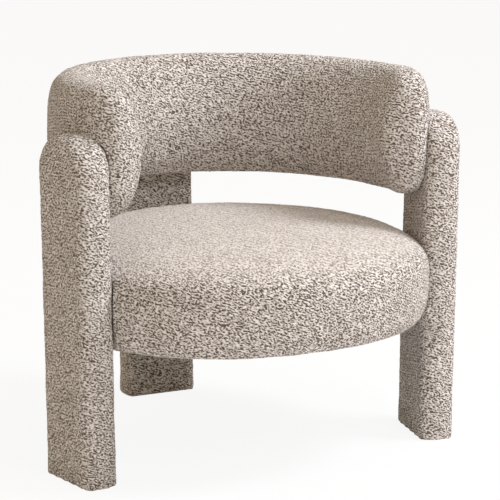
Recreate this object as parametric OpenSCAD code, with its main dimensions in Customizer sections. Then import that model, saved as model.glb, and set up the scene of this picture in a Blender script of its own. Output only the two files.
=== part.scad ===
/* [Seat cushion] */
// Width of the seat cushion, side to side
seat_w = 718; // [620:2:820]
// Depth of the seat cushion, front to back
seat_d = 700; // [600:2:800]
// Height of the crown of the seat above the floor
seat_top = 422; // [360:1:480]
// Height of the cushion above the widest line round its side
seat_crown_h = 106; // [96:1:120]
// Height of the cushion below that line
seat_base_h = 83; // [76:1:100]
// How far the side rolls in under the seat
seat_under = 40; // [34:1:46]
// How square the front half of its outline is; 2 is an ellipse
seat_power = 2.25; // [2.1:0.05:2.4]
// The same for the rear half
seat_rear_power = 1.85; // [1.8:0.05:2.25]

/* [Seat frame] */
// Distance from the edge of the cushion in to the wooden ring
ring_inset = 38; // [35:1:42]
// Thickness of the wooden ring
ring_t = 24; // [18:1:26]
// Thickness of the padding turned in under the ring
pad_lip = 4; // [3:0.5:6]
// Width of one webbing strap
strap_w = 50; // [40:1:60]
// Thickness of one webbing strap
strap_t = 2; // [1.5:0.5:3]
// Thickness of the dust cover under the seat
dust_t = 1; // [0.6:0.1:1.5]

/* [Back] */
// Height of the open gap between the crown of the seat and the back
back_gap = 42; // [30:1:70]
// Height of the back and arms
back_h = 236; // [200:1:280]
// Thickness of the back and arms
back_t = 107; // [100:1:114]
// Depth of the arms' bend, from the widest place forward, if it were a whole quarter turn
back_rf = 234; // [190:1:280]
// How far the arms wrap past the widest place, in degrees
back_wrap = 28; // [24:1:32]
// Distance from the middle of the seat forward to the widest place of the back
back_set = 58; // [40:1:76]
// How deep the side legs press into the arms
arm_bed = 22; // [16:1:26]
// How deep the rear leg presses into the back
back_bed = 3; // [1:1:8]
// Length over which an arm rounds off
arm_round = 102; // [80:1:120]
// Thickness of the bent plywood panel
panel_t = 12; // [9:1:14]
// Height of the padding above the bent plywood panel, and below it
panel_edge = 28; // [24:1:34]
// How far the panel stops short of the end of an arm
panel_stop = 42; // [38:1:60]

/* [Legs] */
// How far the legs reach up past the lower edge of the back
leg_lap = 151; // [140:1:170]
// Width of a leg, along the side of the chair
leg_w = 146; // [140:1:154]
// Thickness of a leg
leg_t = 64; // [62:1:70]
// Radius of the two top corners of a leg
leg_top_r = 62; // [50:1:68]
// Radius along the edges of a leg
leg_edge_r = 18; // [17:1:24]
// How deep the side legs press into the seat
side_bed = 23; // [18:1:26]
// How deep the rear leg presses into the seat
rear_bed = 13; // [8:1:18]
// Distance from the middle of the seat forward to the middle of a side leg
side_leg_set = 111.5; // [96:0.5:126]
// Angle by which the side legs turn out towards the rear
leg_toe = 10.8; // [9:0.1:12]
// Angle by which the legs lean out towards the top
leg_splay = 0.55; // [0.3:0.05:0.8]
// Thickness of the foam round a leg
leg_pad = 12; // [10:0.5:12.5]
// Width of the fabric turned in under a leg
hem_w = 18; // [14:1:19]

/* [Cover and clearances] */
// Thickness of the fabric
cover_t = 2.5; // [2:0.1:3]
// Clearance between soft layers and what they wrap
soft_gap = 0.3; // [0.2:0.05:0.4]
// Thickness of the foam left between a leg and the packer behind it
thin_pad = 3; // [2:0.5:4]
// Clearance round bolts, sleeves and inserts
hole_gap = 0.25; // [0.2:0.05:0.4]

/* [Fixings] */
// Radius of a bolt
bolt_r = 4; // [3:0.5:5]
// Radius of a bolt's head
head_r = 8; // [7:0.5:9]
// Height of a bolt's head
head_h = 5; // [4:0.5:6]
// Width across the corners of the key socket in the head
socket_d = 6.4; // [5:0.2:7]
// Depth of the key socket
socket_h = 3; // [2:0.5:3.5]
// Radius of a washer
washer_r = 11; // [10:0.5:12]
// Thickness of a washer
washer_t = 1.6; // [1:0.2:2]
// Outer radius of a spacer sleeve
sleeve_r = 8; // [7:0.5:9]
// Radius of a threaded insert
insert_r = 6.5; // [6:0.5:7.5]
// Length of a threaded insert
insert_l = 18; // [15:1:20]
// Spacing of the two bolts of a seat joint
seat_bolt_gap = 64; // [56:1:72]
// Distance from a bolt to the edge of its packer
bolt_edge = 18; // [14:1:22]
// Width of the packers between the legs and the frames
packer_w = 106; // [96:1:112]
// Distance from a packer to the edge of what it joins
packer_edge = 10; // [6:1:14]
// Distance from a back packer to the top of its leg and to the lower edge of the back
back_packer_edge = 30; // [26:1:38]

/* [Glides] */
// Height of the fabric above the floor
glide_h = 3; // [2:0.5:5]
// Radius of a glide
glide_r = 11; // [9:0.5:11.5]
// Distance from the middle of a glide to the edge of its leg
glide_edge = 33; // [31:1:38]
// Radius of a glide's pin
pin_r = 1.5; // [1:0.25:2]
// Length of a glide's pin
pin_l = 15; // [10:1:20]

/* [Hidden] */
// Overrun of a cut past the face that it opens
cut = 2;
// A full turn
turn = 360;
// Points round the seat, and round the wooden ring
seat_sides = 40;
ring_sides = 80;
// Angles of the seat's rings, up the crown and down the side
crown_angles = [0, 8, 18, 30, 46, 66];
side_angles = [90, 62, 38, 18];
// Powers of the crown, outwards and upwards, and of the rolled side
crown_out = 2.23;
crown_up = 3.97;
side_power = 2.6;
// Points round the section of the back, and steps along it and in each arm end
back_sides = 20;
back_steps = 20;
end_steps = 5;
// Powers of the back's section on its inner and outer side, and of the arm end
inner_power = 1.8;
outer_power = 3.25;
end_power_h = 4;
end_power_t = 3.6;
// Steps along the bent panel, and as many again of the same size past each end of it
panel_steps = 36;
past_steps = 3;
// Place of the panel across the section, and depth of the flats under the washers
panel_share = 0.04;
spot_share = 0.9;
// How much of the wooden ring's thickness the dust cover leaves bare, and the fabric covers
dust_share = 0.5;
hem_share = 0.75;
// Spacing of the webbing straps, as a share of half the ring
strap_shares = [-0.68, -0.34, 0, 0.34, 0.68];
// Heights
seat_waist = seat_top - seat_crown_h;
seat_bottom = seat_waist - seat_base_h;
back_bottom = seat_top + back_gap;
back_top = back_bottom + back_h;
back_mid = (back_top + back_bottom) / 2;
leg_h = back_bottom + leg_lap;
ring_z = seat_bottom + cover_t + soft_gap + pad_lip;
web_z = seat_waist;
ring_h = web_z - ring_z;
panel_h = back_h - 2 * panel_edge;
panel_z = back_bottom + panel_edge;
seat_packer_h = ring_h - 2 * packer_edge;
seat_bolt_z = ring_z + ring_h / 2;
back_packer_h = leg_lap - 2 * back_packer_edge;
back_bolt_z = back_bottom + leg_lap / 2;
back_bolt_gap = back_packer_h - 2 * bolt_edge;
// Depths of the layers
panel_in = back_t * panel_share;
panel_out = panel_in + panel_t;
core_in = cover_t + leg_pad + 2 * soft_gap;
core_z = glide_h + cover_t + soft_gap;
glide_step = leg_w / 2 - glide_edge;
packer_x = -(cover_t + thin_pad + 3 * soft_gap);
// The three legs, and the seat they press into
LEFT = 0;
RIGHT = 1;
REAR = 2;
LEGS = [LEFT, RIGHT, REAR];
seat_rx = seat_w / 2;
seat_ry = seat_d / 2;
seat_q = seat_power / (seat_power - 1);
leg_gap_half = (leg_distance(RIGHT) - side_leg_set * sin(leg_toe)) / cos(leg_toe);
rear_leg_set = leg_distance(REAR);
leg_lean = (leg_t - leg_edge_r) * cos(leg_splay) + (leg_h - leg_edge_r) * sin(leg_splay);
chair_d = seat_ry + rear_leg_set + leg_lean + leg_edge_r;
seat_y = seat_ry - chair_d / 2;
// The middle line of the back, which the legs press into at the height of its joints
back_y = seat_y - back_set;
back_rear = rear_leg_set + lean(back_bolt_z) + back_bed - back_t / 2;
back_side = leg_distance(RIGHT) + lean(back_bolt_z) + arm_bed - back_t / 2;
back_ry = back_rear + back_set;
back_normal = back_side - back_set * sin(leg_toe);
back_rx = sqrt(pow(back_normal, 2) - pow(back_rf * sin(leg_toe), 2)) / cos(leg_toe);
// Degrees of the back's line for one unit of length near an arm's end
end_turn = turn / 2 / PI / norm([back_rx * sin(back_wrap), back_rf * cos(back_wrap)]);
FABRIC = "#b9aa9b";
FOAM = "#efe3b8";
WOOD = "#d8b98a";
STEEL = "#9a9da1";

function signed_power(v, e) = sign(v) * pow(abs(v), e);

// One point of a superellipse
function oval_point(rx, ry, a, power) = [
    rx * signed_power(cos(a), 2 / power),
    ry * signed_power(sin(a), 2 / power)
];

// One point of the seat's outline, whose front and rear halves differ
function seat_point(rx, ry, a) = oval_point(rx, ry, a, sin(a) > 0 ? seat_rear_power : seat_power);

// Outline of the seat, drawn in from its edge
function seat_outline(inset, sides) = [
    for (i = [0:sides - 1]) seat_point(seat_rx - inset, seat_ry - inset, turn * i / sides)
];

function seat_ring_at(rx, ry, z) = [
    for (i = [0:seat_sides - 1])
        let (p = seat_point(rx, ry, turn * i / seat_sides)) [p[0], p[1], z]
];

// How far the front half of that outline, drawn in by inset, reaches towards a leg
function seat_reach(nx, ny, inset) = pow(
    pow((seat_rx - inset) * abs(nx), seat_q) + pow((seat_ry - inset) * abs(ny), seat_q),
    1 / seat_q
);

function leg_reach(k, inset) = k == REAR
    ? seat_reach(0, 1, inset)
    : seat_reach(cos(leg_toe), sin(leg_toe), inset);

// How far a leg leans out at height z
function lean(z) = z * sin(leg_splay);

// Distance from the middle of the seat to the inner face of leg k, at the floor
function leg_distance(k) = leg_reach(k, 0) - (k == REAR ? rear_bed : side_bed) - lean(seat_waist);

// The seat's outline, drawn in by inset, from the foot of leg k
function ring_face(k, inset) = leg_reach(k, inset) - leg_distance(k);

// The middle line of the back, from the foot of leg k
function back_face(k) = (k == REAR ? back_rear : back_side) - leg_distance(k);

// A point beside the middle line of the back, at angle a, out by off
function back_point(a, off) =
    let (depth = sin(a) > 0 ? back_ry : back_rf)
    let (along = [-back_rx * sin(a), depth * cos(a)])
    let (unit = along / norm(along))
    [back_rx * cos(a) + off * unit[1], depth * sin(a) - off * unit[0]];

// One ring of the back: its section, shrunk in thickness and height near an arm's end
function back_ring(a, share_t, share_h, inset) = [
    for (j = [0:back_sides - 1])
        let (b = -turn * j / back_sides)
        let (power = cos(b) > 0 ? outer_power : inner_power)
        let (off = (back_t / 2 - inset) * share_t * signed_power(cos(b), 2 / power))
        let (rise = (back_h / 2 - inset) * share_h * signed_power(sin(b), 2 / power))
        let (p = back_point(a, off))
        [p[0], p[1], back_mid + rise]
];

function flat(lists) = [for (l = lists) for (v = l) v];

// A closed skin over rings of points, with a tip at each end
module skin(rings, start_tip, end_tip) {
    n = len(rings[0]);
    last = len(rings) - 1;
    points = concat([start_tip], flat(rings), [end_tip]);
    top = len(points) - 1;
    sides = [
        for (i = [0:last - 1])
            for (j = [0:n - 1])
                let (a = 1 + i * n + j, b = 1 + i * n + (j + 1) % n)
                for (f = [[a, a + n, b + n], [a, b + n, b]]) f
    ];
    ends = [
        for (j = [0:n - 1])
            for (f = [[0, 1 + j, 1 + (j + 1) % n],
                      [top, 1 + last * n + (j + 1) % n, 1 + last * n + j]]) f
    ];
    polyhedron(points = points, faces = concat(sides, ends));
}

// The whole seat cushion, drawn in by inset
module seat_form(inset) {
    rx = seat_rx - inset;
    ry = seat_ry - inset;
    roll = seat_under - inset;
    drop = seat_waist - seat_bottom - inset;
    crown = seat_top - seat_waist - inset;
    low = [
        for (a = side_angles)
            let (r = roll * (1 - pow(cos(a), 2 / side_power)))
            seat_ring_at(rx - r, ry - r, seat_waist - drop * pow(sin(a), 2 / side_power))
    ];
    high = [
        for (a = crown_angles)
            let (s = pow(cos(a), 2 / crown_out))
            seat_ring_at(rx * s, ry * s, seat_waist + crown * pow(sin(a), 2 / crown_up))
    ];
    translate([0, seat_y, 0])
        skin(concat(low, high), [0, 0, seat_waist - drop], [0, 0, seat_waist + crown]);
}

// The whole back and arms, drawn in by inset
module back_form(inset) {
    wrap = back_wrap - inset * end_turn;
    swing = (arm_round - inset) * end_turn;
    start = [
        for (j = [1:end_steps])
            let (s = pow(cos(turn / 4 * j / end_steps), 2 / end_power_h))
            [-wrap + swing * (1 - s),
             pow(1 - pow(s, end_power_t), 1 / end_power_t),
             pow(1 - pow(s, end_power_h), 1 / end_power_h)]
    ];
    step = (turn / 2 + 2 * (wrap - swing)) / back_steps;
    right = [for (e = start) back_ring(e[0], e[1], e[2], inset)];
    middle = [for (j = [1:back_steps - 1]) back_ring(swing - wrap + step * j, 1, 1, inset)];
    left = [
        for (j = [end_steps - 1:-1:0])
            back_ring(turn / 2 - start[j][0], start[j][1], start[j][2], inset)
    ];
    tip_r = back_point(-wrap, 0);
    tip_l = back_point(turn / 2 + wrap, 0);
    translate([0, back_y, 0])
        skin(concat(right, middle, left),
             [tip_r[0], tip_r[1], back_mid], [tip_l[0], tip_l[1], back_mid]);
}

// Angle of step j along the bent panel, grown by grow at both ends
function panel_angle(j, grow) =
    let (reach = back_wrap - (panel_stop - grow) * end_turn)
    (turn / 2 + 2 * reach) * j / panel_steps - reach;

// Everything inside a line beside the back's middle line, from past one arm to the other
module back_inside(off, low, high) {
    translate([0, back_y, low])
        linear_extrude(high - low)
            polygon([
                for (j = [-past_steps:panel_steps + past_steps]) back_point(panel_angle(j, 0), off)
            ]);
}

// The bent panel, grown by grow on every side
module panel_form(grow) {
    outer = [for (j = [0:panel_steps]) back_point(panel_angle(j, grow), panel_out + grow)];
    inner = [for (j = [panel_steps:-1:0]) back_point(panel_angle(j, grow), panel_in - grow)];
    translate([0, back_y, panel_z - grow])
        linear_extrude(panel_h + 2 * grow)
            polygon(concat(outer, inner));
}

// A rectangle from the origin along x, centred on y, with round corners
module rounded_plan(t, w, r) {
    translate([r, -w / 2]) square([t - 2 * r, w]);
    translate([0, -w / 2 + r]) square([t, w - 2 * r]);
    for (x = [r, t - r])
        for (y = [-w / 2 + r, w / 2 - r])
            translate([x, y]) circle(r = r, $fn = 48);
}

// A leg's outer shape drawn in by inset, from base up, with its inner face at x = inset
module slab(inset, base) {
    w = leg_w - 2 * inset;
    t = leg_t - 2 * inset;
    r = leg_top_r - inset;
    e = leg_edge_r - inset;
    spring = leg_h - leg_top_r;
    translate([inset, 0, 0]) {
        translate([0, 0, base])
            linear_extrude(spring - base)
                rounded_plan(t, w, e);
        translate([0, 0, spring])
            rotate([0, -90, -90])
                linear_extrude(w - 2 * r, center = true)
                    top_profile(r, t, e);
        for (side = [-1, 1])
            translate([0, side * (w / 2 - r), spring])
                rotate([90, 0, 90])
                    rotate_extrude(angle = 180, $fn = 64)
                        top_profile(r, t, e);
    }
}

// Section through the top of a leg: r up from the spring line, t across, two soft corners
module top_profile(r, t, e) {
    square([r - e, t]);
    translate([0, e]) square([r, t - 2 * e]);
    for (y = [e, t - e])
        translate([r - e, y]) circle(r = e, $fn = 48);
}

// Places children at the foot of leg k, upright: x out from its inner face, y along its width
module at_foot(k) {
    if (k == REAR)
        translate([0, seat_y + rear_leg_set, 0]) rotate(90) children();
    else
        mirror([k == LEFT ? 1 : 0, 0, 0])
            translate([leg_gap_half, seat_y - side_leg_set, 0]) rotate(-leg_toe) children();
}

// The same frame, leaning out with the leg
module at_leg(k) {
    at_foot(k) rotate([0, leg_splay, 0]) children();
}

// Places children on each bolt axis of a leg, with z running out into the leg
module at_seat_bolts() {
    for (y = [-seat_bolt_gap / 2, seat_bolt_gap / 2])
        translate([0, y, seat_bolt_z]) rotate([0, 90, 0]) children();
}

module at_back_bolts() {
    for (z = [-back_bolt_gap / 2, back_bolt_gap / 2])
        translate([0, 0, back_bolt_z + z]) rotate([0, 90, 0]) children();
}

module at_bolts() {
    at_seat_bolts() children();
    at_back_bolts() children();
}

module rod(r, from, to) {
    translate([0, 0, from]) cylinder(r = r, h = to - from, $fn = 32);
}

// Holes for the spacer sleeves, through everything soft between frame and leg core
module sleeve_holes() {
    at_bolts() rod(sleeve_r + hole_gap, packer_x - cut, core_in + cut);
}

module leg_core(k) {
    color(WOOD) difference() {
        at_leg(k) slab(core_in, core_z);
        at_leg(k) at_bolts() rod(insert_r + hole_gap, core_in - cut, core_in + insert_l);
        at_foot(k) at_glides() rod(pin_r + hole_gap, core_z - cut, core_z + pin_l);
    }
}

module leg_foam(k) {
    color(FOAM) at_leg(k) difference() {
        slab(cover_t + soft_gap, core_z);
        slab(core_in - soft_gap, core_z - cut);
        sleeve_holes();
    }
}

module leg_cover(k) {
    color(FABRIC) at_leg(k) difference() {
        slab(0, glide_h);
        slab(cover_t, glide_h + cover_t);
        translate([hem_w, -leg_w / 2 + hem_w, glide_h - cut])
            cube([leg_t - 2 * hem_w, leg_w - 2 * hem_w, cover_t + 2 * cut]);
        sleeve_holes();
    }
}

module at_glides() {
    for (y = [-glide_step, glide_step])
        translate([leg_t / 2, y, 0]) children();
}

module leg_glides() {
    head = core_z - (leg_t / 2 + glide_r) * sin(leg_splay);
    color("#3a3836") for (k = LEGS) at_foot(k) at_glides() {
        rod(glide_r, 0, head);
        rod(pin_r, head, core_z + pin_l);
    }
}

module leg_inserts() {
    color("#c2a24e") for (k = LEGS) at_leg(k) at_bolts() difference() {
        rod(insert_r, core_in, core_in + insert_l);
        rod(bolt_r + hole_gap, core_in - cut, core_in + insert_l + cut);
    }
}

module joint_sleeves() {
    color(STEEL) for (k = LEGS) at_leg(k) at_bolts() difference() {
        rod(sleeve_r, packer_x, core_in);
        rod(bolt_r + hole_gap, packer_x - cut, core_in + cut);
    }
}

// A bolt from its bearing face at x = from into the leg's insert
module bolt(from) {
    difference() {
        union() {
            rod(bolt_r, from - washer_t, core_in + insert_l);
            rod(head_r, from - washer_t - head_h, from - washer_t);
        }
        translate([0, 0, from - washer_t - head_h - cut])
            cylinder(d = socket_d, h = socket_h + cut, $fn = 6);
    }
}

module washer(from) {
    difference() {
        rod(washer_r, from - washer_t, from);
        rod(bolt_r + hole_gap, from - washer_t - cut, from + cut);
    }
}

// Bearing faces under the washers, a little inside the curved faces of ring and panel
function seat_bearing(k) = ring_face(k, ring_inset + ring_t)
    + washer_t * spot_share - lean(seat_bolt_z);
function back_bearing(k) = back_face(k) + panel_in
    + washer_t * spot_share - lean(back_bolt_z);

module seat_ring() {
    color(WOOD) difference() {
        translate([0, seat_y, ring_z])
            linear_extrude(ring_h)
                difference() {
                    polygon(seat_outline(ring_inset, ring_sides));
                    polygon(seat_outline(ring_inset + ring_t, ring_sides));
                }
        for (k = LEGS) at_leg(k) at_seat_bolts() {
            rod(bolt_r + hole_gap, seat_bearing(k) - ring_t, 0);
            rod(washer_r + hole_gap, seat_bearing(k) - ring_t, seat_bearing(k));
        }
    }
}

// A block in a leg's frame, from its flat face at x = face inwards
module packer_block(face, depth, z, h, grow) {
    translate([face - depth, -packer_w / 2 - grow, z - h / 2 - grow])
        cube([depth + grow, packer_w + 2 * grow, h + 2 * grow]);
}

module seat_packer(k, grow) {
    difference() {
        at_leg(k) packer_block(packer_x, ring_inset + ring_t, seat_bolt_z, seat_packer_h, grow);
        translate([0, seat_y, ring_z - cut])
            linear_extrude(ring_h + 2 * cut)
                polygon(seat_outline(ring_inset, ring_sides));
    }
}

module seat_packers() {
    color(WOOD) for (k = LEGS) difference() {
        seat_packer(k, 0);
        at_leg(k) at_seat_bolts() rod(bolt_r + hole_gap, seat_bearing(k), 0);
    }
}

// From the middle of a strap, at a share of the ring's half width, to its end on the ring
function strap_half(r, across, share, power) =
    r * pow(1 - pow(abs(share) + strap_w / 2 / across, power), 1 / power);

module seat_webbing() {
    rx = seat_rx - ring_inset - ring_t / 2;
    ry = seat_ry - ring_inset - ring_t / 2;
    color("#4b4a48") translate([0, seat_y, web_z])
        for (share = strap_shares) {
            front = strap_half(ry, rx, share, seat_power);
            rear = strap_half(ry, rx, share, seat_rear_power);
            half_x = strap_half(rx, ry, share, share < 0 ? seat_power : seat_rear_power);
            translate([share * rx - strap_w / 2, -front, 0])
                cube([strap_w, front + rear, strap_t]);
            translate([-half_x, share * ry - strap_w / 2, strap_t])
                cube([2 * half_x, strap_w, strap_t]);
        }
}

// A level slice of the seat's outline, drawn in by inset
module seat_opening(inset, low, high) {
    translate([0, seat_y, low])
        linear_extrude(high - low)
            polygon(seat_outline(inset, ring_sides));
}

module seat_foam() {
    skin_in = cover_t + soft_gap;
    color(FOAM) difference() {
        seat_form(skin_in);
        seat_opening(ring_inset - soft_gap, ring_z - soft_gap, web_z + 2 * strap_t + soft_gap);
        seat_opening(ring_inset + ring_t * dust_share, seat_bottom - cut, ring_z + cut);
        for (k = LEGS) {
            at_leg(k) slab(-skin_in - soft_gap, seat_bottom - cut);
            at_leg(k) at_seat_bolts() rod(sleeve_r + hole_gap, packer_x - cut, 0);
            seat_packer(k, soft_gap);
        }
    }
}

module seat_cover() {
    color(FABRIC) difference() {
        seat_form(0);
        difference() {
            seat_form(cover_t);
            for (k = LEGS) at_leg(k) slab(-cover_t - soft_gap, seat_bottom - cut);
        }
        seat_opening(ring_inset + ring_t * hem_share, seat_bottom - cut, ring_z);
        for (k = LEGS) at_leg(k) {
            slab(-soft_gap, seat_bottom - cut);
            at_seat_bolts() rod(sleeve_r + hole_gap, packer_x - cut, 0);
        }
    }
}

module seat_dust_cover() {
    color("#2e2d2c")
        seat_opening(ring_inset + ring_t * dust_share, seat_bottom - dust_t, seat_bottom);
}

module seat_bolts() {
    color(STEEL) for (k = LEGS) at_leg(k) at_seat_bolts() bolt(seat_bearing(k));
}

module seat_washers() {
    color(STEEL) for (k = LEGS) at_leg(k) at_seat_bolts() washer(seat_bearing(k));
}

module back_panel() {
    color(WOOD) difference() {
        panel_form(0);
        for (k = LEGS) at_leg(k) at_back_bolts() {
            rod(bolt_r + hole_gap, back_bearing(k) - panel_t, 0);
            rod(washer_r + hole_gap, back_bearing(k) - panel_t, back_bearing(k));
        }
    }
}

module back_packer(k, grow) {
    difference() {
        at_leg(k) packer_block(packer_x, back_t / 2, back_bolt_z, back_packer_h, grow);
        back_inside(panel_out, panel_z, back_top);
    }
}

module back_packers() {
    color(WOOD) for (k = LEGS) difference() {
        back_packer(k, 0);
        at_leg(k) at_back_bolts() rod(bolt_r + hole_gap, back_bearing(k), 0);
    }
}

module back_foam_inner() {
    color(FOAM) difference() {
        intersection() {
            back_form(cover_t + soft_gap);
            back_inside(panel_in + panel_t / 2, back_bottom, back_top);
        }
        panel_form(soft_gap);
        for (k = LEGS) at_leg(k) at_back_bolts()
            rod(washer_r + soft_gap, back_bearing(k) - washer_t - head_h - soft_gap, 0);
    }
}

module back_foam_outer() {
    skin_in = cover_t + soft_gap;
    color(FOAM) difference() {
        back_form(skin_in);
        back_inside(panel_in + panel_t / 2 + soft_gap, back_bottom - cut, back_top + cut);
        panel_form(soft_gap);
        for (k = LEGS) {
            at_leg(k) slab(-skin_in - soft_gap, glide_h);
            at_leg(k) at_back_bolts() rod(sleeve_r + hole_gap, packer_x - cut, 0);
            back_packer(k, soft_gap);
        }
    }
}

module back_cover() {
    color(FABRIC) difference() {
        back_form(0);
        difference() {
            back_form(cover_t);
            for (k = LEGS) at_leg(k) slab(-cover_t - soft_gap, glide_h);
        }
        for (k = LEGS) at_leg(k) {
            slab(-soft_gap, glide_h);
            at_back_bolts() rod(sleeve_r + hole_gap, packer_x - cut, 0);
        }
    }
}

module back_bolts() {
    color(STEEL) for (k = LEGS) at_leg(k) at_back_bolts() bolt(back_bearing(k));
}

module back_washers() {
    color(STEEL) for (k = LEGS) at_leg(k) at_back_bolts() washer(back_bearing(k));
}

module left_leg_core() leg_core(LEFT);
module left_leg_foam() leg_foam(LEFT);
module left_leg_cover() leg_cover(LEFT);
module right_leg_core() leg_core(RIGHT);
module right_leg_foam() leg_foam(RIGHT);
module right_leg_cover() leg_cover(RIGHT);
module rear_leg_core() leg_core(REAR);
module rear_leg_foam() leg_foam(REAR);
module rear_leg_cover() leg_cover(REAR);

left_leg_core();
left_leg_foam();
left_leg_cover();
right_leg_core();
right_leg_foam();
right_leg_cover();
rear_leg_core();
rear_leg_foam();
rear_leg_cover();
leg_inserts();
leg_glides();
joint_sleeves();
seat_ring();
seat_packers();
seat_webbing();
seat_foam();
seat_cover();
seat_dust_cover();
seat_bolts();
seat_washers();
back_panel();
back_packers();
back_foam_inner();
back_foam_outer();
back_cover();
back_bolts();
back_washers();
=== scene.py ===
import math

import bmesh
import bpy
import numpy as np
from mathutils import Matrix, Vector, noise


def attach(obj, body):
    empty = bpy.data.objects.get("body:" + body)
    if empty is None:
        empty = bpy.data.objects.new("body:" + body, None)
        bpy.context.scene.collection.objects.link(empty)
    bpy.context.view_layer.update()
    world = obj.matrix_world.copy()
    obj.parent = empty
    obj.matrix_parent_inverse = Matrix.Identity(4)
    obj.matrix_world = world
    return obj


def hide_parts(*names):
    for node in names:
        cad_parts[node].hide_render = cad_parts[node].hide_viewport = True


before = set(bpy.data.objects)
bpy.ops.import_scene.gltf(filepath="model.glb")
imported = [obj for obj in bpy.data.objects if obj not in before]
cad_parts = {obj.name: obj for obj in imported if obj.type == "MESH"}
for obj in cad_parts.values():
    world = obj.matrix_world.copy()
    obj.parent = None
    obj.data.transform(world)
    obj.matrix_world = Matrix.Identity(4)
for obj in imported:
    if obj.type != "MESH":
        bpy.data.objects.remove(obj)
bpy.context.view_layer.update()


# Leg slabs
# Each leg is a laminated birch plywood slab, routed to an arch at the top. Inside the
# seat and the back are an oval ring, a bent panel and shaped packers of the same wood.

MM = 0.001
WOOD_DARK, WOOD_PALE = (0.46, 0.32, 0.19), (0.74, 0.58, 0.38)


def new_finish(name):
    """A new material with its nodes, its shader and its Object coordinates."""
    made = bpy.data.materials.new(name)
    made.use_nodes = True
    tree = made.node_tree
    shader = tree.nodes["Principled BSDF"]
    place = tree.nodes.new("ShaderNodeTexCoord")
    return made, tree, shader, place.outputs["Object"]


def add(tree, kind, inputs=None, **settings):
    """A node with its settings, and its inputs filled from values or other sockets."""
    node = tree.nodes.new("ShaderNode" + kind)
    for key, value in settings.items():
        setattr(node, key, value)
    for key, value in (inputs or {}).items():
        if isinstance(value, bpy.types.NodeSocket):
            tree.links.new(value, node.inputs[key])
        else:
            node.inputs[key].default_value = value
    return node


def ramp(tree, source, stops):
    """A colour ramp over source, from (place, colour) stops."""
    node = add(tree, "ValToRGB", {"Fac": source})
    band = node.color_ramp
    while len(band.elements) < len(stops):
        band.elements.new(0.5)
    for element, (place, colour) in zip(band.elements, stops):
        element.position = place
        element.color = (*colour, 1)
    return node.outputs["Color"]


def coat(tree, shader, colour, height, strength, depth, roughness):
    """Gives a finish its colour and its relief, and returns the relief's node."""
    relief = add(tree, "Bump", {"Height": height, "Strength": strength, "Distance": depth})
    tree.links.new(colour, shader.inputs["Base Color"])
    tree.links.new(relief.outputs[0], shader.inputs["Normal"])
    shader.inputs["Roughness"].default_value = roughness
    return relief


def plywood():
    made, tree, shader, place = new_finish("birch_plywood")
    stretched = add(tree, "Mapping", {"Vector": place, "Scale": (30, 30, 3)})
    grain = add(tree, "TexNoise", {"Vector": stretched.outputs[0], "Scale": 9, "Detail": 6})
    plies = add(tree, "TexWave", {"Vector": place, "Scale": 180, "Distortion": 0.4},
                bands_direction="X")
    both = add(tree, "Math", {0: grain.outputs["Fac"], 1: plies.outputs["Fac"]}, operation="ADD")
    half = add(tree, "Math", {0: both.outputs[0], 1: 0.5}, operation="MULTIPLY")
    colour = ramp(tree, half.outputs[0], [(0.25, WOOD_DARK), (0.75, WOOD_PALE)])
    coat(tree, shader, colour, grain.outputs["Fac"], 0.3, 0.4 * MM, 0.6)
    return made


def dress(material, *names):
    """Gives CAD nodes their material."""
    for name in names:
        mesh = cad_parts[name].data
        mesh.materials.clear()
        mesh.materials.append(material)


dress(plywood(), "left_leg_core", "right_leg_core", "rear_leg_core",
      "seat_ring", "seat_packers", "back_panel", "back_packers")


# Fixings
# Zinc-plated bolts, washers and spacer sleeves, and brass threaded inserts in the slabs.
# They pull the seat ring and the bent panel against the legs through the padding.

ZINC, BRASS = (0.62, 0.63, 0.65), (0.76, 0.6, 0.3)


def darker(colour, share):
    return tuple(share * part for part in colour)


def metal(name, colour, roughness):
    made, tree, shader, place = new_finish(name)
    spots = add(tree, "TexNoise", {"Vector": place, "Scale": 900, "Detail": 3}).outputs["Fac"]
    tone = ramp(tree, spots, [(0.3, darker(colour, 0.7)), (0.7, colour)])
    coat(tree, shader, tone, spots, 0.15, 0.2 * MM, roughness)
    shader.inputs["Metallic"].default_value = 1
    return made


dress(metal("zinc_plate", ZINC, 0.35),
      "seat_bolts", "seat_washers", "back_bolts", "back_washers", "joint_sleeves")
dress(metal("plain_brass", BRASS, 0.3), "leg_inserts")


# Glides
# Two black nylon nail-in glides under each leg keep the fabric off the floor.

NYLON_BLACK, NYLON_SCUFF = (0.015, 0.015, 0.015), (0.05, 0.05, 0.05)


def nylon():
    made, tree, shader, place = new_finish("black_nylon")
    scuffs = add(tree, "TexNoise", {"Vector": place, "Scale": 400, "Detail": 4}).outputs["Fac"]
    tone = ramp(tree, scuffs, [(0.4, NYLON_BLACK), (0.8, NYLON_SCUFF)])
    coat(tree, shader, tone, scuffs, 0.2, 0.3 * MM, 0.5)
    return made


dress(nylon(), "leg_glides")


# Seat deck
# Crossing elastic straps over the ring carry the foam. A black non-woven lining is
# stapled under the ring and covers the folded edge of the fabric.

STRAP, LINING = (0.07, 0.065, 0.06), (0.03, 0.03, 0.032)


def woven(name, colour, threads):
    made, tree, shader, place = new_finish(name)
    warp, weft = (add(tree, "TexWave", {"Vector": place, "Scale": threads},
                      bands_direction=way).outputs["Fac"] for way in "XY")
    weave = add(tree, "Math", {0: warp, 1: weft}, operation="MULTIPLY").outputs[0]
    tone = ramp(tree, weave, [(0.1, darker(colour, 0.5)), (0.7, colour)])
    coat(tree, shader, tone, weave, 0.5, 0.5 * MM, 0.85)
    return made


dress(woven("elastic_webbing", STRAP, 160), "seat_webbing")
dress(woven("black_lining", LINING, 320), "seat_dust_cover")


# Leg sleeves
# Each slab is wrapped in foam and drawn into a sewn sleeve of looped boucle, soft at every
# edge and arched at the top. It leans out a little, toes in, and is stapled under the foot.

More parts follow.
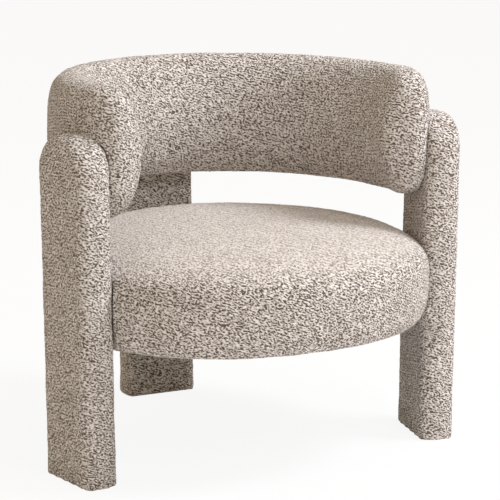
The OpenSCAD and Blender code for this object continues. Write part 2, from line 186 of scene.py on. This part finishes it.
SEAT_MIDDLE = -26.86 * MM                # the middle of the seat, in front of the box's middle
LEG = (64 * MM, 146 * MM, 615 * MM)      # thickness, width, height
LEG_ARCH = 62 * MM                       # radius of the arch's corners
LEG_EDGE = 12 * MM
LEG_GROW = 0.7 * MM                      # the sleeve stands this far outside those sizes
LEG_CROWN = 7 * MM                       # the middle of a narrow face stands this far past its rims
CROWN_REACH = 25 * MM                    # and it draws the padding along down to this depth
LEG_TOE, LEG_SPLAY = math.radians(10.8), math.radians(0.55)
SIDE_LEG = (320.99 * MM, -111.5 * MM)    # a side leg's inner face, from the middle of the seat
REAR_LEG = 333.97 * MM                   # the rear leg's inner face, behind that middle
SIDES = {"left_leg": -1, "right_leg": 1, "rear_leg": 0}

FOOT_GAP = 0.6 * MM                      # the hem ends this far above the floor
FOOT_HEM = 7 * MM                        # width of the hem round the glides
FOOT_TUCK = 2.8 * MM                     # the fabric inside the hem lies this much higher
FOOT_SLOPE = 8 * MM                      # width of the slope from the hem up to it
FOOT_BAND = 8 * MM                       # only this much of the sleeve's height is set down
FOOT_STILL = 6 * MM                      # filling moves nothing below this height
FOOT_EASE = 40 * MM                      # filling and waves come in over this height

YARN_PULL = 4 * MM                                # how far the yarn wanders
YARN_SLANT = math.radians(25)
YARN_STRETCH = (1.7, 1.4, 0.85)                   # a loop is longer than it is high
YARN_ROWS = (5.2 * MM, (0.34, 0.1, 0.94))         # pitch of the rows, and the way across them
YARN_LOOPS = (8.2 * MM, (0.8, 0.9, -0.5))         # pitch of the loops, and the way along a row
YARN_DEPTH = 3 * MM
# Colours from the gaps to the loop tops. The dark brown end is mostly painted shade in the gaps, with
# a little of the yarn's own darker tone.
YARN_TONES_AND_GAP_SHADE = [(0.05, (0.115, 0.079, 0.058)), (0.3, (0.34, 0.271, 0.225)),
              (0.51, (0.68, 0.613, 0.563)), (1.0, (0.845, 0.798, 0.76))]
# Painted light: an even pale tone that takes the place of the gap shade on faces turned up.
YARN_TOP_PAINTED_LIGHT = (0.62, 0.56, 0.515, 1)

FILL_MOMENTS = 20                        # steps in which a cover is filled
WAVES = ((1.0 * MM, 55 * MM), (0.7 * MM, 7 * MM))     # depth and size of the fabric's waves


def boucle(name, top_painted_light):
    """Cream slub yarn in short slanting loops, row on row. The dark brown in the gaps between loops is
    partly the yarn's own darker tone and mostly painted shade.

    Where the second argument is true, faces turned up get painted light: the painted gap shade fades
    towards an even pale tone there, and the relief lies flatter."""
    made, tree, shader, place = new_finish(name)
    swirl = add(tree, "TexNoise", {"Vector": place, "Scale": 90, "Detail": 0})
    centred = add(tree, "VectorMath", {0: swirl.outputs["Color"], 1: (0.5, 0.5, 0.5)},
                  operation="SUBTRACT")
    pulled = add(tree, "VectorMath", {0: centred.outputs[0], "Scale": YARN_PULL}, operation="SCALE")
    bent = add(tree, "VectorMath", {0: place, 1: pulled.outputs[0]}, operation="ADD").outputs[0]
    yarn = add(tree, "Mapping", {"Vector": bent, "Rotation": (0, YARN_SLANT, 0),
                                 "Scale": YARN_STRETCH}, vector_type="TEXTURE")
    loops = add(tree, "TexNoise", {"Vector": yarn.outputs[0], "Scale": 400, "Detail": 0})
    waves = []
    for pitch, way in (YARN_ROWS, YARN_LOOPS):
        turns = add(tree, "VectorMath", {0: bent, 1: Vector(way) * 2 * math.pi / pitch},
                    operation="DOT_PRODUCT")
        waves.append(add(tree, "Math", {0: turns.outputs["Value"]}, operation="COSINE").outputs[0])
    knots = add(tree, "Math", {0: waves[0], 1: waves[1]}, operation="MULTIPLY")
    rows = add(tree, "Math", {0: waves[0], 1: 0.7, 2: knots.outputs[0]}, operation="MULTIPLY_ADD")
    knit = add(tree, "Math", {0: rows.outputs[0], 1: 0.08, 2: loops.outputs["Fac"]},
               operation="MULTIPLY_ADD")
    height = add(tree, "MapRange", {"Value": knit.outputs[0], "From Min": 0.3, "From Max": 0.64})
    # Low values are the gaps between loops. Their dark brown is mostly painted shade.
    tone = ramp(tree, height.outputs[0], YARN_TONES_AND_GAP_SHADE)
    mottle = add(tree, "TexNoise", {"Vector": place, "Scale": 14, "Detail": 3})
    patches = ramp(tree, mottle.outputs["Fac"], [(0.3, (0.96, 0.95, 0.94)), (0.7, (1.03, 1.03, 1.03))])
    # The mottle is the yarn's own uneven tone, laid over the painted gap shade.
    mottled_tone_and_gap_shade = add(tree, "Mix", {0: 1.0, 6: tone, 7: patches}, data_type="RGBA", blend_type="MULTIPLY")
    colour = mottled_tone_and_gap_shade.outputs[2]
    # Painted light: on faces turned up, the gap shade fades towards an even pale tone and the relief
    # flattens.
    if top_painted_light:
        facing = add(tree, "SeparateXYZ", {0: tree.nodes["Texture Coordinate"].outputs["Normal"]})
        flat = add(tree, "MapRange", {"Value": facing.outputs["Z"], "From Min": 0.6,
                                      "From Max": 0.97, "To Min": 0.0, "To Max": 0.45})
        colour = add(tree, "Mix", {0: flat.outputs[0], 6: colour, 7: YARN_TOP_PAINTED_LIGHT},
                     data_type="RGBA").outputs[2]
    relief = coat(tree, shader, colour, height.outputs[0], 1.0, YARN_DEPTH, 0.95)
    if top_painted_light:
        left = add(tree, "Math", {0: 1.0, 1: flat.outputs[0]}, operation="SUBTRACT")
        tree.links.new(left.outputs[0], relief.inputs["Strength"])
    shader.inputs["Specular IOR Level"].default_value = 0.15
    shader.inputs["Sheen Weight"].default_value = 0.2
    shader.inputs["Sheen Roughness"].default_value = 0.6
    return made


def piece_from(name, shape):
    """A bmesh as an object in the scene, with smooth faces that point outwards."""
    bmesh.ops.remove_doubles(shape, verts=shape.verts, dist=1e-5)
    bmesh.ops.recalc_face_normals(shape, faces=shape.faces)
    mesh = bpy.data.meshes.new(name)
    shape.to_mesh(mesh)
    shape.free()
    mesh.shade_smooth()
    made = bpy.data.objects.new(name, mesh)
    bpy.context.scene.collection.objects.link(made)
    return made


def points_of(piece, what="co"):
    """The corner points of a piece, or their normals, as an array."""
    found = np.zeros(len(piece.data.vertices) * 3)
    piece.data.vertices.foreach_get(what, found)
    return found.reshape(-1, 3)


def set_points(piece, places):
    piece.data.vertices.foreach_set("co", places.ravel())
    piece.data.update()


def bake_modifiers(piece):
    """Makes what the modifiers show the piece's own mesh."""
    bpy.context.view_layer.update()
    shown = piece.evaluated_get(bpy.context.evaluated_depsgraph_get())
    mesh = bpy.data.meshes.new_from_object(shown)
    old = piece.data
    piece.modifiers.clear()
    piece.data = mesh
    mesh.name = piece.name
    bpy.data.meshes.remove(old)


def foot_frame(side):
    """From a leg's own frame (x out, y along its width) to the chair's. side is from SIDES."""
    lean = Matrix.Rotation(LEG_SPLAY, 4, "Y")
    if side == 0:
        return (Matrix.Translation((0, SEAT_MIDDLE + REAR_LEG, 0))
                @ Matrix.Rotation(math.pi / 2, 4, "Z") @ lean)
    right = (Matrix.Translation((SIDE_LEG[0], SEAT_MIDDLE + SIDE_LEG[1], 0))
             @ Matrix.Rotation(-LEG_TOE, 4, "Z") @ lean)
    return Matrix.Diagonal((side, 1, 1, 1)) @ right


def leg_shape():
    """A slab with an arched top, and every edge rounded but those at the foot."""
    shape = bmesh.new()
    thick, wide, tall = LEG[0] + 2 * LEG_GROW, LEG[1] + 2 * LEG_GROW, LEG[2] + LEG_GROW
    hair = 1e-4
    bmesh.ops.create_cube(shape, size=1)
    bmesh.ops.scale(shape, verts=shape.verts, vec=(thick, wide, tall))
    bmesh.ops.translate(shape, verts=shape.verts, vec=(LEG[0] / 2, 0, tall / 2))

    def middle(edge):
        return (edge.verts[0].co + edge.verts[1].co) / 2

    top = [e for e in shape.edges
           if middle(e).z > tall - hair and abs(abs(middle(e).y) - wide / 2) < hair]
    bmesh.ops.bevel(shape, geom=top, offset=LEG_ARCH, offset_type="OFFSET", segments=14,
                    profile=0.5, affect="EDGES", material=-1)
    rims = [e for e in shape.edges
            if middle(e).z > hair and abs(middle(e).x - LEG[0] / 2) > thick / 2 - hair]
    bmesh.ops.bevel(shape, geom=rims, offset=LEG_EDGE, offset_type="OFFSET", segments=6,
                    profile=0.5, affect="EDGES", material=-1)
    return shape


def plump(piece, voxel, cap):
    """Fills a cover with air until its fabric is tight. No point moves further than cap."""
    cells = piece.modifiers.new("cells", "REMESH")
    cells.mode = "VOXEL"
    cells.voxel_size = voxel
    cells.use_smooth_shade = True
    bake_modifiers(piece)
    start = points_of(piece)
    cloth = piece.modifiers.new("cloth", "CLOTH")
    cloth.settings.quality = 4
    cloth.settings.mass = 0.3
    cloth.settings.tension_stiffness = 12
    cloth.settings.compression_stiffness = 12
    cloth.settings.shear_stiffness = 5
    cloth.settings.bending_stiffness = 0.8
    cloth.settings.use_pressure = True
    cloth.settings.uniform_pressure_force = 4
    cloth.settings.effector_weights.gravity = 0
    cloth.collision_settings.use_collision = False
    cloth.point_cache.frame_start = 1
    cloth.point_cache.frame_end = FILL_MOMENTS
    for moment in range(1, FILL_MOMENTS + 1):
        bpy.context.scene.frame_set(moment)
    shown = piece.evaluated_get(bpy.context.evaluated_depsgraph_get())
    filled = np.array([v.co for v in shown.data.vertices])
    piece.modifiers.clear()
    bpy.context.scene.frame_set(1)
    free = np.clip((start[:, 2:] - FOOT_STILL) / FOOT_EASE, 0, 1)
    moved = (filled - start) * free
    far = np.linalg.norm(moved, axis=1, keepdims=True)
    set_points(piece, start + moved * cap * np.tanh(far / cap) / np.maximum(far, 1e-9))


def refine(piece):
    """Halves the cells of a filled cover, which smooths it."""
    finer = piece.modifiers.new("finer", "SUBSURF")
    finer.levels = finer.render_levels = 1
    bake_modifiers(piece)


def ripple(piece, seed):
    """The small waves of real fabric, drawn straight along the foot. seed picks their pattern."""
    shift = Vector((3.1, 1.7, 0.9)) * seed
    for depth, size in WAVES:
        places = points_of(piece)
        lift = np.array([noise.noise(Vector(p) / size + shift) for p in places]) * depth
        lift *= np.clip(places[:, 2] / FOOT_EASE, 0, 1)
        set_points(piece, places + points_of(piece, "normal") * lift[:, None])


def into_leg(places, side):
    """Points of the chair in a leg's own frame, and the turn that took them there."""
    inwards = np.array(foot_frame(side).inverted())
    return places @ inwards[:3, :3].T + inwards[:3, 3], inwards[:3, :3]


def rounded_distance(beyond, radius):
    """Distance from a corner rounded to radius, and the way off it."""
    outside = np.maximum(beyond, 0)
    length = np.linalg.norm(outside, axis=1)
    nearest = (beyond == beyond.max(axis=1, keepdims=True)).astype(float)
    way = np.where(length[:, None] > 1e-9, outside / np.maximum(length, 1e-9)[:, None], nearest)
    return length + np.minimum(beyond.max(axis=1), 0) - radius, way


def crown(leg, side):
    """Swells the narrow faces and the arch of a sleeve along their middle."""
    places = points_of(leg)
    local, turn = into_leg(places, side)
    corner = np.column_stack([np.abs(local[:, 1]) - LEG[1] / 2, local[:, 2] - LEG[2]]) + LEG_ARCH
    rim, way = rounded_distance(corner, LEG_ARCH)
    near = np.clip(1 + rim / CROWN_REACH, 0, 1)
    across = np.clip(np.abs(local[:, 0] / (LEG[0] / 2) - 1), 0, 1)
    lift = LEG_CROWN * (0.5 - across ** 2) * near
    moved = np.column_stack([0 * lift, lift * way[:, 0] * np.sign(local[:, 1]), lift * way[:, 1]])
    set_points(leg, places + moved @ turn)


def set_down(leg, side):
    """Sets a sleeve down on the floor, with its turned-in middle clear of the glides."""
    places = points_of(leg)
    local, _ = into_leg(places, side)
    edge = np.minimum.reduce([local[:, 0], LEG[0] - local[:, 0], LEG[1] / 2 - np.abs(local[:, 1])])
    foot = FOOT_GAP + FOOT_TUCK * np.clip((edge - FOOT_HEM) / FOOT_SLOPE, 0, 1)
    height = np.maximum(places[:, 2], 0)
    low = height.min()
    near = np.clip((FOOT_BAND - height) / (FOOT_BAND - low), 0, 1)
    places[:, 2] = height + near * (foot - low)
    set_points(leg, places)


def put_on(piece, material):
    piece.data.materials.clear()
    piece.data.materials.append(material)


fabric = boucle("boucle", False)         # the seat and the back have ripple patterns 0 and 1
for seed, (name, side) in enumerate(SIDES.items(), start=2):
    shape = leg_shape()
    bmesh.ops.transform(shape, matrix=foot_frame(side), verts=shape.verts)
    leg = piece_from(name + "_sleeve", shape)
    plump(leg, 5 * MM, 1.2 * MM)
    refine(leg)
    crown(leg, side)
    ripple(leg, seed)
    set_down(leg, side)
    put_on(leg, fabric)
    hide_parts(name + "_cover", name + "_foam")
    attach(leg, "root")


# Seat cushion
# A thick oval of crowned foam, sewn into the same boucle, which is drawn tight over it and
# stapled under the ring. The legs press into its sides and rear.

SEAT_HALF = (359 * MM, 350 * MM)
SEAT_SQUARE = (2.25, 1.85)    # how square its front and rear halves are; 2 is an ellipse
SEAT_WAIST = 316 * MM         # height of its widest line
SEAT_CROWN = 104.4 * MM       # cushion above that line, before it is filled
SEAT_BASE = 81.4 * MM         # cushion below it
SEAT_TOP = (2.23, 3.97)       # how square its upper half is: outwards, and upwards
SEAT_UNDER = 2.6              # how square the roll under its waist is
SEAT_ROLL = 40 * MM           # how far that roll comes in
SEAT_SIDE = 0.6               # share of the lower half's rings in the roll, the rest close the base
CONTACT = 0.5 * MM            # room left between a leg and what it presses into


def rounded(value, power):
    """The superellipse's version of a cosine or sine."""
    return math.copysign(abs(value) ** (2 / power), value)


def seat_shape():
    """An upright ball, drawn out to the oval plan and the flat-topped, rolled section."""
    shape = bmesh.new()
    bmesh.ops.create_uvsphere(shape, u_segments=120, v_segments=60, radius=1)
    for vert in shape.verts:
        around = math.atan2(vert.co.y, vert.co.x)
        up = math.asin(max(-1, min(1, vert.co.z)))
        if up >= 0:
            out = rounded(math.cos(up), SEAT_TOP[0])
            height = SEAT_CROWN * rounded(math.sin(up), SEAT_TOP[1])
        else:
            low = -up / (math.pi / 2)
            turn = min(low / SEAT_SIDE, 1) * math.pi / 2
            roll = SEAT_ROLL / SEAT_HALF[0] * (1 - rounded(math.cos(turn), SEAT_UNDER))
            flat = max(0, (low - SEAT_SIDE) / (1 - SEAT_SIDE))
            out = (1 - roll) * (1 - flat)
            height = -SEAT_BASE * rounded(math.sin(turn), SEAT_UNDER)
        square = SEAT_SQUARE[1] if around > 0 else SEAT_SQUARE[0]
        vert.co = (SEAT_HALF[0] * out * rounded(math.cos(around), square),
                   SEAT_MIDDLE + SEAT_HALF[1] * out * rounded(math.sin(around), square),
                   SEAT_WAIST + height)
    return shape


def leg_depth(places, side):
    """How far each point is from a leg, and the way off it through its inner face or an edge."""
    local, turn = into_leg(places, side)
    corner = np.column_stack([np.abs(local[:, 1]) - LEG[1] / 2 - LEG_GROW,
                              local[:, 2] - LEG[2] - LEG_GROW]) + LEG_ARCH
    arch, arch_way = rounded_distance(corner, LEG_ARCH)
    distance, way = rounded_distance(
        np.column_stack([-local[:, 0] - LEG_GROW, arch]) + LEG_EDGE, LEG_EDGE)
    turned = np.column_stack([-way[:, 0], way[:, 1] * arch_way[:, 0] * np.sign(local[:, 1]),
                              way[:, 1] * arch_way[:, 1]])
    return distance, turned @ turn


def press_against_legs(piece):
    """Dents a cushion wherever a leg stands in it."""
    places = points_of(piece)
    for side in (-1, 0, 1):
        distance, way = leg_depth(places, side)
        deep = np.clip(CONTACT - distance, 0, None)
        places = places + way * deep[:, None]
    set_points(piece, places)


seat = piece_from("seat_cushion", seat_shape())
plump(seat, 6 * MM, 2.5 * MM)
refine(seat)
ripple(seat, 0)
press_against_legs(seat)
# The seat's boucle has painted light on its upward faces, where the gap shade fades to an even pale
# tone.
put_on(seat, boucle("boucle_painted_top_light", True))
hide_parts("seat_cover", "seat_foam")
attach(seat, "root")


# Back and arms
# A long roll of padding round a bent plywood panel. It is rounder on the sitter's side,
# wraps round the seat and ends in two blunt arms, level with the front of the side legs.

BACK_LOW, BACK_HIGH = 462 * MM, 701.5 * MM
BACK_THICK = 102.5 * MM
BACK_SQUARE = (3.25, 1.8)                         # how square its outer and inner halves are
BACK_LINE = (301.2 * MM, 346.8 * MM, 234 * MM)    # half width, rear depth, front depth
BACK_MIDDLE = SEAT_MIDDLE - 58 * MM               # where that line is widest
BACK_WRAP = 28.0              # angle by which each arm goes on past the widest place
ARM_SHARE = 0.16              # share of the roll's rings in each rounded end
ARM_ROUND = 102 * MM          # length along which an end closes
ARM_BLUNT = (3.6, 4, 3.4)     # how blunt an end is: in plan, on top and underneath
ARM_LIFT = 0.05               # share by which the underside rises towards the tip of an arm


def back_line(angle):
    """A point on the middle line of the back, and the way out from it."""
    turn = math.radians(angle)
    depth = BACK_LINE[1] if math.sin(turn) > 0 else BACK_LINE[2]
    along = Vector((-BACK_LINE[0] * math.sin(turn), depth * math.cos(turn))).normalized()
    return (Vector((BACK_LINE[0] * math.cos(turn), depth * math.sin(turn) + BACK_MIDDLE)),
            Vector((along.y, -along.x)))


def back_shape():
    """A grid, bent to the section and drawn along the line from one arm's tip to the other."""
    shape = bmesh.new()
    bmesh.ops.create_grid(shape, x_segments=150, y_segments=56, size=1)
    wrap = math.radians(BACK_WRAP)
    tip = Vector((BACK_LINE[0] * math.sin(wrap), BACK_LINE[2] * math.cos(wrap))).length
    swing = math.degrees(ARM_ROUND / tip)
    for vert in shape.verts:
        along = (vert.co.x + 1) / 2
        around = math.pi * vert.co.y
        end = min(along, 1 - along) / ARM_SHARE
        if end < 1:
            closed = math.sqrt(math.cos(math.pi / 2 * end))
            off = swing * (1 - closed)
            angle = -BACK_WRAP + off if along < 0.5 else 180 + BACK_WRAP - off
            thin, top, under = ((1 - closed ** blunt) ** (1 / blunt) for blunt in ARM_BLUNT)
        else:
            inner = (along - ARM_SHARE) / (1 - 2 * ARM_SHARE)
            angle = swing - BACK_WRAP + (180 + 2 * (BACK_WRAP - swing)) * inner
            thin = top = under = 1
        square = BACK_SQUARE[0] if math.cos(around) > 0 else BACK_SQUARE[1]
        out = BACK_THICK / 2 * thin * rounded(math.cos(around), square)
        rise = (BACK_HIGH - BACK_LOW) / 2 * rounded(math.sin(around), square)
        rise *= top if rise > 0 else under * (1 - ARM_LIFT * max(0, 1 - end))
        line, outwards = back_line(angle)
        place = line + outwards * out
        vert.co = (place.x, place.y, (BACK_HIGH + BACK_LOW) / 2 + rise)
    return shape


back = piece_from("back_roll", back_shape())
plump(back, 6 * MM, 1.5 * MM)
refine(back)
ripple(back, 1)
press_against_legs(back)
put_on(back, fabric)
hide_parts("back_cover", "back_foam_inner", "back_foam_outer")
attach(back, "root")


# Floor, light and camera
# A white studio floor under a white sky. A key lamp stands high at the front right and a
# weaker one in front, both a little cool, and the room's own warm light fills the shade.

FLOOR_WHITE, FLOOR_GLOW = (0.9, 0.9, 0.9, 1), 0.9
ROOM_FILL, ROOM_TINT = 0.59, (1, 0.865, 0.69, 1)
LAMP_TINT, LAMP_SIZE = (0.95, 0.995, 1.08), 1.2
LAMPS_AIM = Vector((0, 0, 0.4))

PHOTO_SIZE = 500                         # width of the picture, in its own pixels
LENS_PIXELS = 2000                       # focal length, in the same pixels
CHAIR_IN_PHOTO = (232.92, 262.80)        # where the chair's middle lies in the picture
CHAIR_MIDDLE = Vector((0, -28.4 * MM, 337.5 * MM))
CAMERA_AWAY = 3.7385
CAMERA_TURN, CAMERA_TILT, CAMERA_ROLL = (math.radians(a) for a in (-25.34, 11.89, -0.09))
SENSOR = 36


def seen_directly(tree):
    """1 on rays from the camera, also by way of gloss or glass, and 0 on rays that light the chair."""
    path = add(tree, "LightPath")
    seen = path.outputs["Is Camera Ray"]
    for other in ("Is Glossy Ray", "Is Transmission Ray"):
        seen = add(tree, "Math", {0: seen, 1: path.outputs[other]}, operation="MAXIMUM").outputs[0]
    return seen


def studio_white():
    made = bpy.data.materials.new("studio_white")
    made.use_nodes = True
    tree = made.node_tree
    tree.nodes.remove(tree.nodes["Principled BSDF"])
    paint = add(tree, "BsdfDiffuse", {"Color": FLOOR_WHITE})
    glow = add(tree, "Emission", {"Color": (1, 1, 1, 1), "Strength": 1.0})
    share = add(tree, "Math", {0: seen_directly(tree), 1: FLOOR_GLOW}, operation="MULTIPLY")
    both = add(tree, "MixShader", {0: share.outputs[0], 1: paint.outputs[0], 2: glow.outputs[0]})
    tree.links.new(both.outputs[0], tree.nodes["Material Output"].inputs["Surface"])
    return made


def studio_room():
    made = bpy.data.worlds.new("studio")
    made.use_nodes = True
    tree = made.node_tree
    sky = tree.nodes["Background"]
    seen = seen_directly(tree)
    strength = add(tree, "MapRange", {"Value": seen, "To Min": ROOM_FILL, "To Max": 1.0})
    tint = add(tree, "Mix", {0: seen, 6: ROOM_TINT, 7: (1, 1, 1, 1)}, data_type="RGBA")
    tree.links.new(strength.outputs[0], sky.inputs["Strength"])
    tree.links.new(tint.outputs[2], sky.inputs["Color"])
    return made


def soft_lamp(name, place, power):
    made = bpy.data.objects.new(name, bpy.data.lights.new(name, "AREA"))
    made.data.shape = "DISK"
    made.data.size = LAMP_SIZE
    made.data.energy = power
    made.data.color = LAMP_TINT
    made.location = place
    made.rotation_euler = (LAMPS_AIM - made.location).to_track_quat("-Z", "Y").to_euler()
    bpy.context.scene.collection.objects.link(made)


def turned(first, second, angle):
    """Two square directions, both turned by angle in their plane, the first towards the second."""
    return (first * math.cos(angle) + second * math.sin(angle),
            second * math.cos(angle) - first * math.sin(angle))


def photo_camera():
    """The camera of the photograph: long lens, in front and above, a little to the left leg's side."""
    back_off = Vector((math.sin(CAMERA_TURN) * math.cos(CAMERA_TILT),
                       -math.cos(CAMERA_TURN) * math.cos(CAMERA_TILT), math.sin(CAMERA_TILT)))
    ahead, right = -back_off, Vector((math.cos(CAMERA_TURN), math.sin(CAMERA_TURN), 0))
    up = right.cross(ahead)
    across, down = (math.atan2(at - PHOTO_SIZE / 2, LENS_PIXELS) for at in CHAIR_IN_PHOTO)
    right, ahead = turned(right, ahead, across)
    ahead, up = turned(ahead, up, down)
    right, up = turned(right, up, CAMERA_ROLL)
    made = bpy.data.objects.new("camera", bpy.data.cameras.new("camera"))
    made.data.sensor_width = SENSOR
    made.data.lens = SENSOR * LENS_PIXELS / PHOTO_SIZE
    made.data.clip_end = 60
    made.matrix_world = (Matrix.Translation(CHAIR_MIDDLE + back_off * CAMERA_AWAY)
                         @ Matrix((right, up, -ahead)).transposed().to_4x4())
    bpy.context.scene.collection.objects.link(made)
    return made


shape = bmesh.new()
bmesh.ops.create_grid(shape, x_segments=8, y_segments=8, size=12)
floor = piece_from("studio_floor", shape)
put_on(floor, studio_white())

soft_lamp("key_light", (2.0, -1.15, 3.15), 93)
soft_lamp("front_light", (0.5, -2.9, 2.45), 29)
bpy.context.scene.world = studio_room()
bpy.context.scene.camera = photo_camera()
bpy.context.scene.view_settings.view_transform = "Standard"
